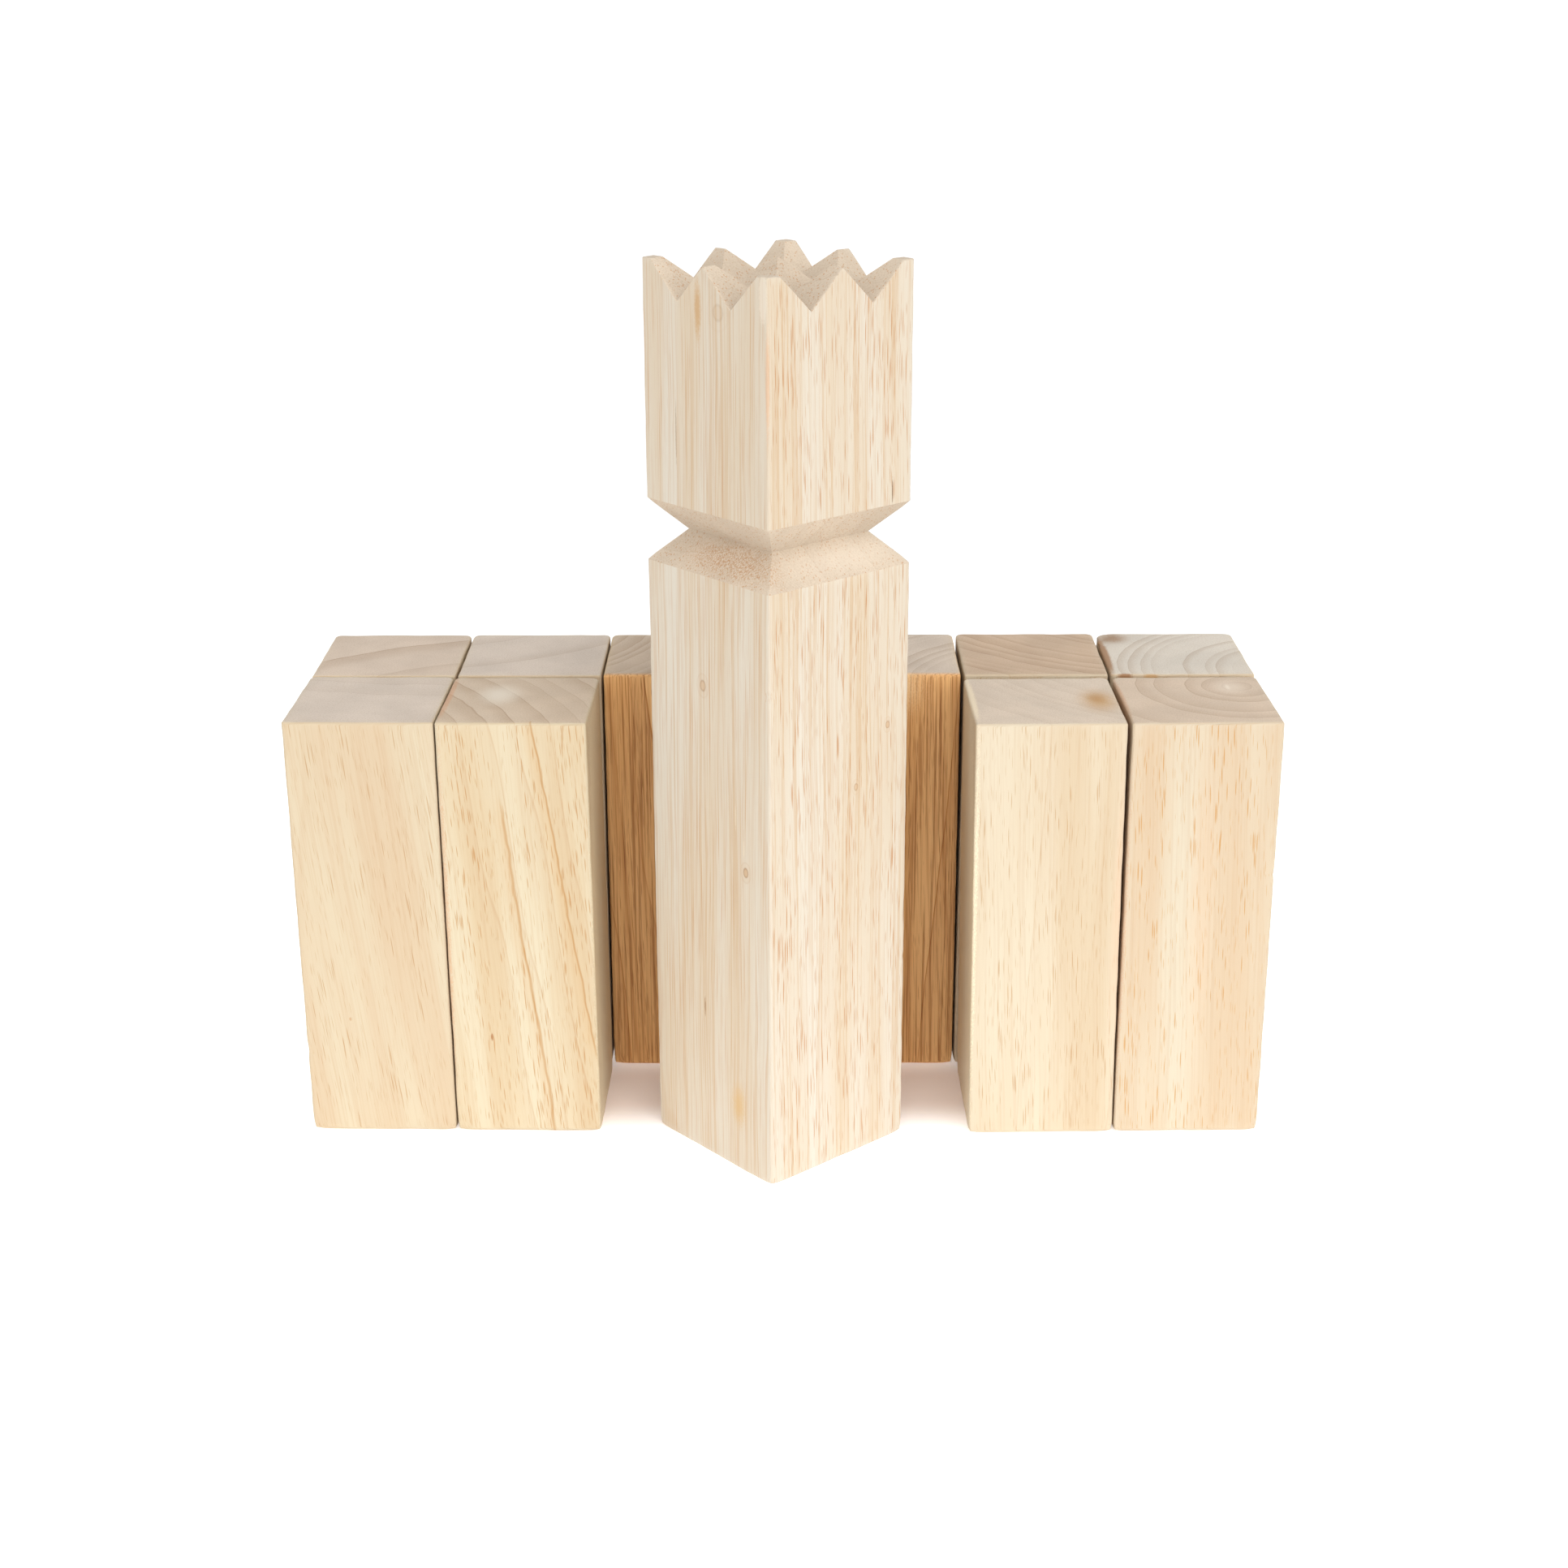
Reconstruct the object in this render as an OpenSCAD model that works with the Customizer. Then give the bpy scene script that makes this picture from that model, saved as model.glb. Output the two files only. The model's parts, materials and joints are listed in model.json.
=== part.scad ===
// Kubb set, a lawn throwing game: ten square kubbs standing in two rows with the crowned king among them.
// The origin is the centre of the king's base. +Z is up, +X runs along the rows and +Y points to the rear.

/* [Kubb] */
// Side of a kubb's square section
kubb_w = 50; // [40:0.5:70]
// Height of a kubb
kubb_h = 150; // [100:1:240]
// Rounding of a kubb's two front upright edges
kubb_front_r = 0.8; // [0.5:0.1:4]
// Rounding of a kubb's two rear upright edges
kubb_rear_r = 2.8; // [0.5:0.1:6]
// Rounding of the edges around a kubb's base
kubb_base_r = 1.1; // [0.5:0.1:4]
// Rounding of the edges around a kubb's top
kubb_top_r = 0.8; // [0.5:0.1:3]

/* [King] */
// Side of the king's square post
king_w = 60; // [50:0.5:64]
// Height of the king
king_h = 300; // [260:1:360]
// Rounding of the king's four upright edges
king_side_r = 1; // [0.5:0.1:3]
// Rounding of the edges around the king's base
king_base_r = 0.8; // [0.5:0.1:3]
// Height of the bottom line of the neck groove
neck_z = 214; // [150:1:230]
// Depth of the neck groove
neck_depth = 9.6; // [4:0.1:16]
// Height of the neck groove at its mouth
neck_mouth = 20.3; // [8:0.1:30]
// Depth of the saw cuts that make the crown
crown_depth = 11.6; // [6:0.1:18]
// Flat left at the top of each corner point of the crown
crown_corner = 4.9; // [3:0.1:9]
// Flat left along the middle ridges of the crown
crown_ridge = 0.6; // [0.4:0.1:2]

/* [Rear row] */
// Middle of the row's centre gap, at the row's front faces, seen from the king
rear_place = [0.9, 48.8]; // [-10:0.1:60]
// Clear gaps between the six kubbs' bases, from left to right
rear_gaps = [0.7, 0.6, 24.3, 0.5, 1.5]; // [0.4:0.1:40]
// Lean of each rear kubb's sides to the right, in degrees, from left to right
rear_leans = [0, 0, 0, 0, 0.25, 0]; // [0:0.05:0.3]

/* [Front pairs] */
// Middle of the left pair's front faces, seen from the king
left_place = [-112, -2.6]; // [-150:0.1:0]
// Middle of the right pair's front faces, seen from the king
right_place = [115.1, -4.4]; // [-10:0.1:150]
// Clear gap between the two bases of a pair
pair_gap = 0.4; // [0.4:0.1:3]
// Turn of each pair, its inner end a little forward, in degrees
pair_turn = 1; // [0:0.1:1.5]
// Lean of both left kubbs' sides to the left, in degrees
left_lean = 0.35; // [0:0.05:1]
// Lean of the inner right kubb's sides to the left, in degrees
right_inner_lean = 0.4; // [0:0.05:1]

/* [King's stance] */
// Turn of the king about its own upright axis, in degrees
king_turn = 41.3; // [30:0.1:50]

/* [Hidden] */
// Circle fineness of the rounded edges
$fn = 48;
// Length by which a cutting or trimming shape runs past what it cuts
past = 1;
// Crown grooves: half their width at the top, and the distance of their centre lines from the post's axis
crown_half = (king_w / 2 - crown_corner - crown_ridge / 2) / 2;
crown_offset = crown_ridge / 2 + crown_half;
// Places of the rear kubbs' axes along the row, from left to right, with the centre gap's middle at 0
rear_steps = [for (gap = rear_gaps) kubb_w + gap];
rear_first = -rear_steps[0] - rear_steps[1] - rear_steps[2] / 2;
rear_x = [for (i = 0, x = rear_first; i < 6; x = x + (i < 5 ? rear_steps[i] : 0), i = i + 1) x];
// Distance of a pair's kubbs from the pair's middle
pair_half = (kubb_w + pair_gap) / 2;

// Centre of an outline's rounded corner of radius r, at height z on the left (-1) or right (1)
function corner_centre(w, z, r, lean, side) = [z * tan(lean) + side * (w / 2 - r) / cos(lean), z];

// Outline standing on y = 0 with level ends, sides that lean by lean degrees to +X, and round corners
module leaning_outline(w, h, base_r, top_r, lean) {
    left_low = corner_centre(w, base_r, base_r, lean, -1);
    right_low = corner_centre(w, base_r, base_r, lean, 1);
    right_high = corner_centre(w, h - top_r, top_r, lean, 1);
    left_high = corner_centre(w, h - top_r, top_r, lean, -1);
    right = [cos(lean), -sin(lean)];
    polygon([
        left_low - [0, base_r], right_low - [0, base_r],
        right_low + base_r * right, right_high + top_r * right,
        right_high + [0, top_r], left_high + [0, top_r],
        left_high - top_r * right, left_low - base_r * right
    ]);
    for (c = [left_low, right_low]) translate(c) circle(base_r);
    for (c = [left_high, right_high]) translate(c) circle(top_r);
}

// The leaning outline run through along Y, as far as reach on either side
module outline_through(w, h, base_r, top_r, lean, reach) {
    translate([0, reach, 0])
        rotate([90, 0, 0])
            linear_extrude(2 * reach) leaning_outline(w, h, base_r, top_r, lean);
}

// Square centred on the origin, its front corners rounded by front_r and its rear corners by rear_r
module round_square(w, front_r, rear_r) {
    half = w / 2;
    front = half - front_r;
    rear = half - rear_r;
    polygon([
        [-front, -half], [front, -half],
        [half, -front], [half, rear],
        [rear, half], [-rear, half],
        [-half, rear], [-half, -front]
    ]);
    for (side = [-1, 1]) translate([side * front, -front]) circle(front_r);
    for (side = [-1, 1]) translate([side * rear, rear]) circle(rear_r);
}

// Square post standing on the origin, with rounded front, rear, base and top edges
module round_post(w, h, front_r, rear_r, base_r, top_r, lean) {
    reach = w / 2 + h * tan(abs(lean)) + past;
    intersection() {
        rotate([0, lean, 0])
            translate([0, 0, -past])
                linear_extrude(h + 2 * past) round_square(w, front_r, rear_r);
        outline_through(w, h, base_r, top_r, lean, reach);
        rotate([0, 0, 90]) outline_through(w, h, base_r, top_r, 0, reach);
    }
}

// V groove along Y, mouth up: its bottom line is on z = -depth and its mouth is 2 * half wide at z = 0
module v_groove(half, depth, length) {
    slope = half / depth;
    translate([0, length / 2, 0])
        rotate([90, 0, 0])
            linear_extrude(length)
                polygon([[0, -depth], [slope * (depth + past), past], [-slope * (depth + past), past]]);
}

// One groove of the neck, across the post's +X face
module neck_groove() {
    translate([king_w / 2, 0, neck_z])
        rotate([0, 90, 0])
            v_groove(neck_mouth / 2, neck_depth, king_w + 2 * past);
}

// Two parallel saw cuts across the king's top
module crown_cuts() {
    for (side = [-1, 1])
        translate([side * crown_offset, 0, king_h])
            v_groove(crown_half, crown_depth, king_w + 2 * past);
}

// The king's post before it is cut: the edges around its base are rounded, its top is sawn square
module king_post() {
    intersection() {
        round_post(king_w, king_h + 2 * king_base_r, king_side_r, king_side_r, king_base_r, king_base_r, 0);
        translate([0, 0, king_h / 2]) cube([king_w, king_w, king_h], center = true);
    }
}

// One kubb, standing on the origin
module kubb(lean) {
    round_post(kubb_w, kubb_h, kubb_front_r, kubb_rear_r, kubb_base_r, kubb_top_r, lean);
}

// The kubb at a place in the rear row, counted from the left
module rear_kubb(number) {
    translate([rear_place.x + rear_x[number - 1], rear_place.y + kubb_w / 2, 0])
        kubb(rear_leans[number - 1]);
}

// A kubb of a front pair, on the left (-1) or right (1) of that pair's middle
module pair_kubb(place, turn, side, lean) {
    translate([place.x, place.y + kubb_w / 2, 0])
        rotate([0, 0, turn])
            translate([side * pair_half, 0, 0]) kubb(lean);
}

module king() {
    color("#ecdcbd")
        rotate([0, 0, king_turn])
            difference() {
                king_post();
                for (face = [0 : 90 : 270]) rotate([0, 0, face]) neck_groove();
                crown_cuts();
                rotate([0, 0, 90]) crown_cuts();
            }
}

module kubb_front_left_outer() {
    color("#ead3b4") pair_kubb(left_place, -pair_turn, -1, -left_lean);
}

module kubb_front_left_inner() {
    color("#eed8b6") pair_kubb(left_place, -pair_turn, 1, -left_lean);
}

module kubb_front_right_inner() {
    color("#ecd9bb") pair_kubb(right_place, pair_turn, -1, -right_inner_lean);
}

module kubb_front_right_outer() {
    color("#eac9a2") pair_kubb(right_place, pair_turn, 1, 0);
}

module kubb_rear_1() {
    color("#e3cdaa") rear_kubb(1);
}

module kubb_rear_2() {
    color("#dfc9a8") rear_kubb(2);
}

module kubb_rear_3() {
    color("#d9b98f") rear_kubb(3);
}

module kubb_rear_4() {
    color("#d8b68c") rear_kubb(4);
}

module kubb_rear_5() {
    color("#dfc8a4") rear_kubb(5);
}

module kubb_rear_6() {
    color("#e0c69f") rear_kubb(6);
}

king();
kubb_front_left_outer();
kubb_front_left_inner();
kubb_front_right_inner();
kubb_front_right_outer();
kubb_rear_1();
kubb_rear_2();
kubb_rear_3();
kubb_rear_4();
kubb_rear_5();
kubb_rear_6();
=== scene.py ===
"""A kubb set in bare light hardwood: ten kubbs and a crowned king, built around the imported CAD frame.

A block is modelled in its own space, in millimetres: z runs up its grain and the origin is the middle
of its base. The front face looks along -y and the left face along -x. Its object then stands it where
its CAD node stands.
"""

import json
import math
from types import SimpleNamespace

import bpy
import numpy as np
from mathutils import Matrix, Vector, noise


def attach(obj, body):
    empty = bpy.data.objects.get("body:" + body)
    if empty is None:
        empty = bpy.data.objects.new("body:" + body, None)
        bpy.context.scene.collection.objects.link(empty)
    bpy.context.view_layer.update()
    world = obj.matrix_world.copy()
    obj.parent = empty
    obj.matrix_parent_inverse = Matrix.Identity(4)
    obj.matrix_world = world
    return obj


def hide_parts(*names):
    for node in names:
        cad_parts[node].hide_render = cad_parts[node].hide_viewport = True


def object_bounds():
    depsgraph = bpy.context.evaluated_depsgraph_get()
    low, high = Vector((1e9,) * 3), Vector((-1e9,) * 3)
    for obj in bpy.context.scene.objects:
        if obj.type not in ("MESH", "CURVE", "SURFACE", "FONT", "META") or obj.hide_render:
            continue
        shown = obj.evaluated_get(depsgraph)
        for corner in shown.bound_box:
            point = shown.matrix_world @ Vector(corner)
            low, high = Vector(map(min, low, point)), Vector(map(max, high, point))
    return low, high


MM = 0.001
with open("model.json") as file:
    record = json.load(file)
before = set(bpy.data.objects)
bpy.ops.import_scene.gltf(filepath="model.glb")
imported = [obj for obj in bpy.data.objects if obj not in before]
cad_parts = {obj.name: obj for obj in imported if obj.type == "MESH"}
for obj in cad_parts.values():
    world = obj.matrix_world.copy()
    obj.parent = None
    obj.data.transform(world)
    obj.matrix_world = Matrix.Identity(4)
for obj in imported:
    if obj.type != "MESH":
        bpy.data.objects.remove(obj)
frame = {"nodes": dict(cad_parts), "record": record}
cad_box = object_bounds()

# Mesh faces smaller than this share of a flat face's largest one are left out when it is measured
SLIVER = 0.002
# Least cosine between a direction and a face that looks along it, and between the faces of one plane
FACING = 0.99
COPLANAR = 0.99999
# Up part of a normal: below the first a face is upright, and above the second it is level
UPRIGHT = 0.3
LEVEL = 0.95
# Points closer than this are at one height, in mm
SAME = 0.01
# How finely a block is meshed: rows, columns and the support lines by its edges in mm, arcs in steps
ROW_STEP = 2.2
COLUMN_STEP = 2.2
SUPPORT = 0.35
HALF_ARC_STEPS = 3
END_ARC_STEPS = 4
# Smallest rounding of an upright edge where the end roundings cut into it, in mm
SHARP = 0.1
# Edges sharper than this are shaded as creases, in degrees
CREASE = 38
# Unevenness of the planed faces, broad and fine, and softening of the edges: depth and lump size, in mm
BROAD_WEAR = (0.02, 31)
FINE_WEAR = (0.008, 7)
EDGE_WEAR = (0.22, 9)
EDGE_WEAR_REACH = 1.6
# How far from an edge its wood is painted paler: partly rubbed wear, partly painted highlight on the edges
EDGE_LOOK_REACH = 1.8
# How far the crown's sawn edges are softened
CROWN_EASE = 0.35
# How deep the four corners of a block's foot are rubbed, and how far that reaches
FOOT_WEAR = 0.5
FOOT_REACH = 2.6


# ---------------------------------------------------------------- the blocks, measured from the frame


def read(items, name, width):
    """One property of many mesh elements, as an array of rows."""
    values = np.empty(len(items) * width)
    items.foreach_get(name, values)
    return values.reshape(-1, width)


class Block:
    """Where a CAD node stands and how big it is, in mm, measured from its mesh."""

    def __init__(self, node):
        mesh = frame["nodes"][node].data
        self.node = node
        self.normals = read(mesh.polygons, "normal", 3)
        self.areas = read(mesh.polygons, "area", 1)[:, 0]
        self.corners = [list(p.vertices) for p in mesh.polygons]
        self.points = read(mesh.vertices, "co", 3) / MM
        self.turn = self.measure_turn()
        self.rotate_back()
        base = self.on_faces(self.flat_face((0, 0, -1)))
        self.shift = (base[:, :2].min(0) + base[:, :2].max(0)) / 2
        self.points[:, :2] -= self.shift
        side = self.flat_face((1, 0, 0))
        weights = self.areas[side]
        self.lean = -(self.normals[side, 2] @ weights) / (self.normals[side, 0] @ weights)
        upright_x = self.points[:, 0] - self.points[:, 2] * self.lean
        self.half = (upright_x.max() - upright_x.min()) / 2
        self.height = self.points[:, 2].max()
        side_y = self.on_faces(side)[:, 1]
        self.side_r = self.half + np.array([side_y.min(), -side_y.max()])
        self.base_r = self.half - np.abs(base[:, 1] - self.shift[1]).max()
        self.top_r = self.half - np.abs(self.on_faces(self.flat_face((0, 0, 1)))[:, 1]).max()

    def measure_turn(self):
        """Turn of the flat sides about z, modulo a quarter turn, in radians."""
        upright = np.abs(self.normals[:, 2]) < UPRIGHT
        heading = np.arctan2(self.normals[upright, 1], self.normals[upright, 0])
        weights = self.areas[upright]
        return math.atan2(weights @ np.sin(4 * heading), weights @ np.cos(4 * heading)) / 4

    def rotate_back(self):
        """Turns the points and normals so that the block's sides face along x and y."""
        c, s = math.cos(self.turn), math.sin(self.turn)
        back = np.array([[c, -s], [s, c]])
        self.points[:, :2] = self.points[:, :2] @ back
        self.normals[:, :2] = self.normals[:, :2] @ back

    def flat_face(self, direction):
        """Which mesh faces make up the block's flat face that looks along direction."""
        areas = self.areas * (self.normals @ np.array(direction) > FACING)
        largest = np.argmax(areas)
        return (self.normals @ self.normals[largest] > COPLANAR) & (areas > SLIVER * areas[largest])

    def on_faces(self, chosen):
        """The points of the chosen faces."""
        used = sorted({v for face in np.flatnonzero(chosen) for v in self.corners[face]})
        return self.points[used]

    def placement(self):
        """Matrix that stands the block's own space, in metres, in the row frame."""
        c, s = math.cos(self.turn), math.sin(self.turn)
        x, y = self.shift * MM
        return Matrix.Translation((c * x - s * y, s * x + c * y, 0)) @ Matrix.Rotation(self.turn, 4, "Z")


class King(Block):
    """The king also has its neck groove and the saw cuts of its crown."""

    def __init__(self, node):
        super().__init__(node)
        up = np.abs(self.normals[:, 2])
        sloping = (up > UPRIGHT) & (up < LEVEL)
        high = np.array([self.points[face, 2].min() > self.height / 2 for face in self.corners])
        neck = self.on_faces(sloping & high & (self.normals[:, 2] < 0))
        self.neck_z = neck[:, 2].min()
        self.neck_rise = neck[:, 2].max() - self.neck_z
        waist = neck[neck[:, 2] < self.neck_z + SAME]
        self.neck_depth = self.half - np.abs(waist[:, :2]).max()
        neck_top = self.neck_z + self.neck_rise
        above = np.array([self.points[face, 2].min() > neck_top for face in self.corners])
        cuts = self.on_faces(sloping & above & (np.abs(self.normals[:, 0]) > UPRIGHT))
        self.crown_depth = self.height - cuts[:, 2].min()
        mouths = np.abs(cuts[cuts[:, 2] > self.height - SAME, 0])
        self.cut_inner, self.cut_outer = mouths.min(), mouths.max()

    def crown_height(self, across):
        """Height of the top along a face, or across one pair of saw cuts."""
        middle = (self.cut_inner + self.cut_outer) / 2
        half_width = (self.cut_outer - self.cut_inner) / 2
        cut = np.maximum(0, 1 - np.abs(np.abs(across) - middle) / half_width)
        return self.height - self.crown_depth * cut

    def neck_inset(self, z):
        """How far the neck groove has cut in at height z."""
        return self.neck_depth * np.maximum(0, 1 - np.abs(z - self.neck_z) / self.neck_rise)


# ---------------------------------------------------------------- mesh code


def spaced(start, end, step):
    """Evenly spaced values from start to end, no further apart than step."""
    return np.linspace(start, end, max(1, math.ceil(abs(end - start) / step - 0.01)) + 1)


def joined(stretches):
    """One rising list of values from several that share their ends."""
    return np.unique(np.round(np.concatenate(stretches), 6))


def outline(half, radii, straight):
    """Points round a square with rounded corners, for every row at once, as an array (rows, points, 2).

    half holds one value per row, and radii one per row for the front corners and one for the rear corners.
    straight holds places from 0 to 1 along a side's straight part.
    """
    columns = []
    for side, (start, end) in enumerate(((0, 0), (0, 1), (1, 1), (1, 0))):
        heading = side * math.pi / 2
        turn = np.array([[math.cos(heading), math.sin(heading)], [-math.sin(heading), math.cos(heading)]])
        r0, r1 = radii[:, start], radii[:, end]
        for step in range(HALF_ARC_STEPS):
            a = math.radians(225 + 45 * step / HALF_ARC_STEPS)
            x, y = r0 - half + r0 * math.cos(a), r0 - half + r0 * math.sin(a)
            columns.append(np.stack([x, y], 1) @ turn)
        for t in straight:
            columns.append(np.stack([(r0 - half) * (1 - t) + (half - r1) * t, -half], 1) @ turn)
        for step in range(1, HALF_ARC_STEPS):
            a = math.radians(270 + 45 * step / HALF_ARC_STEPS)
            x, y = half - r1 + r1 * math.cos(a), r1 - half + r1 * math.sin(a)
            columns.append(np.stack([x, y], 1) @ turn)
    return np.stack(columns, 1)


def wall_faces(rows, columns, start=0):
    """Quads between neighbouring rows of points that run round the block."""
    here = np.arange(rows * columns).reshape(rows, columns) + start
    beside = np.roll(here, -1, axis=1)
    return np.stack([here[:-1], beside[:-1], beside[1:], here[1:]], -1).reshape(-1, 4)


def cap_grid(ring, first_new, count):
    """Vertex numbers of a square grid whose border is the ring and whose inside is new."""
    side = count - 1
    ids = np.empty((count, count), int)
    ids[1:-1, 1:-1] = first_new + np.arange((count - 2) ** 2).reshape(count - 2, count - 2)
    ids[:-1, 0] = ring[:side]
    ids[-1, :-1] = ring[side:2 * side]
    ids[:0:-1, -1] = ring[2 * side:3 * side]
    ids[0, :0:-1] = ring[3 * side:]
    return ids


def cap_faces(ids):
    """Quads of a grid, facing up."""
    return np.stack([ids[:-1, :-1], ids[1:, :-1], ids[1:, 1:], ids[:-1, 1:]], -1).reshape(-1, 4)


def creased_faces(ids, ridge_gap):
    """Triangles of a grid, each square split along the diagonal where ridge_gap is smaller."""
    gap = np.abs(ridge_gap)
    rising = gap[:-1, :-1] + gap[1:, 1:]
    falling = gap[1:, :-1] + gap[:-1, 1:]
    a, b, c, d = ids[:-1, :-1], ids[1:, :-1], ids[1:, 1:], ids[:-1, 1:]
    first = np.where((rising <= falling)[..., None], np.stack([a, b, c], -1), np.stack([a, b, d], -1))
    second = np.where((rising <= falling)[..., None], np.stack([a, c, d], -1), np.stack([b, c, d], -1))
    return np.concatenate([first.reshape(-1, 3), second.reshape(-1, 3)])


def rounding(radius):
    """Heights and insets of the rounding at a block's end, from the end inwards."""
    a = np.linspace(math.pi / 2, 0, END_ARC_STEPS + 1)
    return radius * (1 - np.sin(a)), radius * (1 - np.cos(a))


def flat_end(ring, count, z):
    """The new points of a level cap inside its ring, count points to a side."""
    side = count - 1
    front, right = ring[:count, 0], ring[side:side + count, 1]
    rear = ring[2 * side:2 * side + count, 0][::-1]
    x, y = np.meshgrid((front + rear)[1:-1] / 2, right[1:-1], indexing="ij")
    return np.stack([x, y, np.full_like(x, z)], -1).reshape(-1, 3)


def straight_places(block, breaks):
    """Places from 0 to 1 along a side's straight part, through breaks (mm) and its support lines."""
    flat = block.half - block.side_r[0]
    stops = [-flat, -flat + SUPPORT, *breaks, flat - SUPPORT, flat]
    lines = joined([spaced(a, b, COLUMN_STEP) for a, b in zip(stops[:-1], stops[1:])])
    return (lines + flat) / (2 * flat)


def kubb_surface(block):
    """Points and faces of a plain kubb."""
    base_z, base_inset = rounding(block.base_r)
    top_z, top_inset = rounding(block.top_r)
    body = spaced(block.base_r + SUPPORT, block.height - block.top_r - SUPPORT, ROW_STEP)
    z = np.concatenate([base_z, body, (block.height - top_z)[::-1]])
    inset = np.concatenate([base_inset, np.zeros(len(body)), top_inset[::-1]])
    straight = straight_places(block, [])
    radii = np.maximum(block.side_r - inset[:, None], SHARP)
    around = outline(block.half - inset, radii, straight)
    rows, columns = around.shape[:2]
    wall = np.concatenate([around, np.broadcast_to(z[:, None, None], (rows, columns, 1))], 2)
    count = columns // 4 + 1
    ends = [flat_end(around[0], count, z) for z in (0, block.height)]
    points = [wall.reshape(-1, 3), *ends]
    inside = (count - 2) ** 2
    bottom = cap_grid(np.arange(columns), rows * columns, count)
    top = cap_grid(np.arange(columns) + (rows - 1) * columns, rows * columns + inside, count)
    faces = [wall_faces(rows, columns), cap_faces(bottom)[:, ::-1], cap_faces(top)]
    return np.concatenate(points), faces


def king_surface(king):
    """Points and faces of the king, with its neck groove and its crown."""
    foot_z, foot_inset = rounding(king.base_r)
    neck_low, neck_high = king.neck_z - king.neck_rise, king.neck_z + king.neck_rise
    collar = king.height - king.crown_depth - 2 * ROW_STEP
    stops = [king.base_r + SUPPORT, neck_low, king.neck_z, neck_high, collar]
    body = joined([spaced(a, b, ROW_STEP) for a, b in zip(stops[:-1], stops[1:])])
    z = np.concatenate([foot_z, body])
    inset = np.concatenate([foot_inset, king.neck_inset(body)])
    radii = king.side_r * np.maximum(1 - 1.5 * inset / king.side_r[0], 0.25)[:, None]
    middle = (king.cut_inner + king.cut_outer) / 2
    breaks = [-king.cut_outer, -middle, -king.cut_inner, king.cut_inner, middle, king.cut_outer]
    straight = straight_places(king, breaks)
    around = outline(king.half - inset, radii, straight)
    rows, columns = around.shape[:2]
    wall = np.concatenate([around, np.broadcast_to(z[:, None, None], (rows, columns, 1))], 2)

    along = np.where(np.arange(columns) // (columns // 4) % 2 == 0, around[-1, :, 0], around[-1, :, 1])
    rim = king.crown_height(along)
    shares = np.linspace(0, 1, 8)[1:]
    crown_rows = collar + shares[:, None] * (rim - CROWN_EASE - collar)
    crown_rings = np.broadcast_to(around[-1], (len(shares), columns, 2))
    crown_wall = np.concatenate([crown_rings, crown_rows[..., None]], 2)
    eased = outline(np.array([king.half - CROWN_EASE]), king.side_r[None] - CROWN_EASE, straight)[0]
    rim_ring = np.concatenate([eased, rim[:, None]], 1)[None]
    wall = np.concatenate([wall, crown_wall, rim_ring])
    rows = len(wall)

    count = columns // 4 + 1
    crown_grid = eased[:count, 0]
    crown_x, crown_y = np.meshgrid(crown_grid, crown_grid, indexing="ij")
    high_x, high_y = king.crown_height(crown_x), king.crown_height(crown_y)
    crown = np.stack([crown_x, crown_y, np.minimum(high_x, high_y)], -1)[1:-1, 1:-1]
    points = [wall.reshape(-1, 3), flat_end(around[0], count, 0), crown.reshape(-1, 3)]
    inside = (count - 2) ** 2
    bottom = cap_grid(np.arange(columns), rows * columns, count)
    top = cap_grid(np.arange(columns) + (rows - 1) * columns, rows * columns + inside, count)
    faces = [wall_faces(rows, columns), cap_faces(bottom)[:, ::-1], creased_faces(top, high_x - high_y)]
    return np.concatenate(points), faces


def edge_nearness(block, points, reach):
    """1 on a block's own edges, falling to 0 within a few times reach (mm)."""
    x_gap = block.half - np.abs(points[:, 0])
    y_gap = block.half - np.abs(points[:, 1])
    z_gap = np.minimum(points[:, 2], block.height - points[:, 2])
    gaps = np.sort(np.stack([x_gap, y_gap, z_gap], 1), 1)
    return np.exp(-((np.maximum(gaps[:, 1], 0) / reach) ** 2))


def noise_at(points, size, seed):
    """Smooth noise from about -1 to 1 whose lumps are about size mm wide."""
    offset = Vector((seed * 7.31, seed * 3.17, seed * 5.53))
    return np.array([noise.noise(Vector(p) / size + offset) for p in points])


def wear(block, points, seed, scars):
    """How far each point has worn inwards, in mm: uneven planing, softened edges, and scars.

    A scar is (x, y, z, radius, depth).
    """
    depth = BROAD_WEAR[0] * (1 + noise_at(points, BROAD_WEAR[1], seed))
    depth += FINE_WEAR[0] * (1 + noise_at(points, FINE_WEAR[1], seed + 1))
    edge = edge_nearness(block, points, EDGE_WEAR_REACH)
    depth += edge * EDGE_WEAR[0] * np.maximum(0, 0.3 + noise_at(points, EDGE_WEAR[1], seed + 2))
    from_foot = np.abs(np.abs(points) - (block.half, block.half, 0))
    depth += FOOT_WEAR * np.exp(-((np.linalg.norm(from_foot, axis=1) / FOOT_REACH) ** 2))
    for x, y, z, radius, scar_depth in scars:
        away = np.linalg.norm(points - np.array([x, y, z]), axis=1) / radius
        rough = 1 + 0.5 * noise_at(points, 1.5, seed + 3)
        depth += scar_depth * rough * np.clip(1 - away**2, 0, 1)
    return depth


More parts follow.
